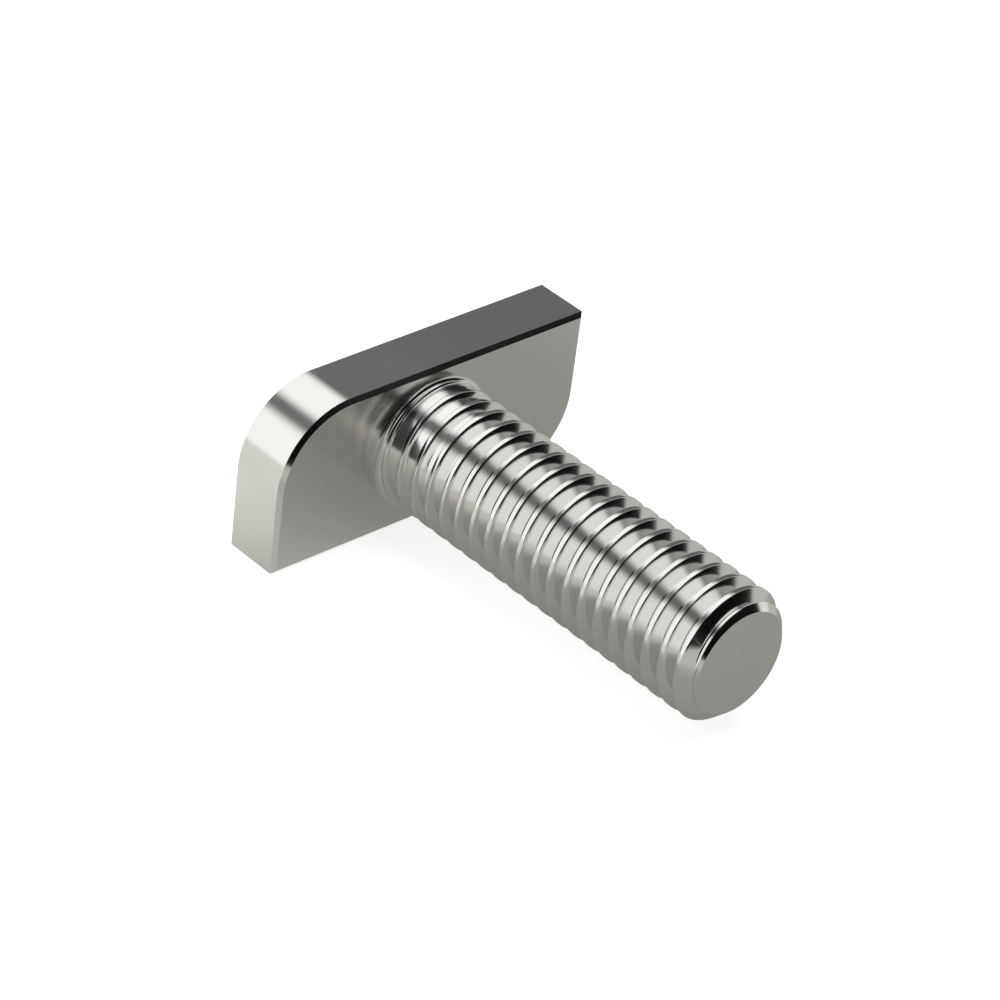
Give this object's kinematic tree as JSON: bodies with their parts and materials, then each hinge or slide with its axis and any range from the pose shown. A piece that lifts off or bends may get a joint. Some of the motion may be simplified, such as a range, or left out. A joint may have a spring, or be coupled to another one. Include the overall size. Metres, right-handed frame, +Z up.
{
  "type": "hammer head bolt",
  "caption": "Stainless hammer head bolt: a flat bar head with opposite corners rounded so that it turns and locks in a slot, and a fully threaded shank with a chamfered end.",
  "frame": {"origin": "on the floor, under the middle of the whole bolt, as it lies on one long side of its head", "axes": "+X along the head's long side, +Y along the bolt's axis from the thread's end to the head's outer face, +Z up across the head's width"},
  "size_m": [0.0222, 0.0286, 0.01],
  "materials": {
    "stainless_steel": "satin, plain stainless steel"
  },
  "bodies": {
    "root": {"hammer_head_bolt": "stainless_steel"}
  },
  "joints": []
}
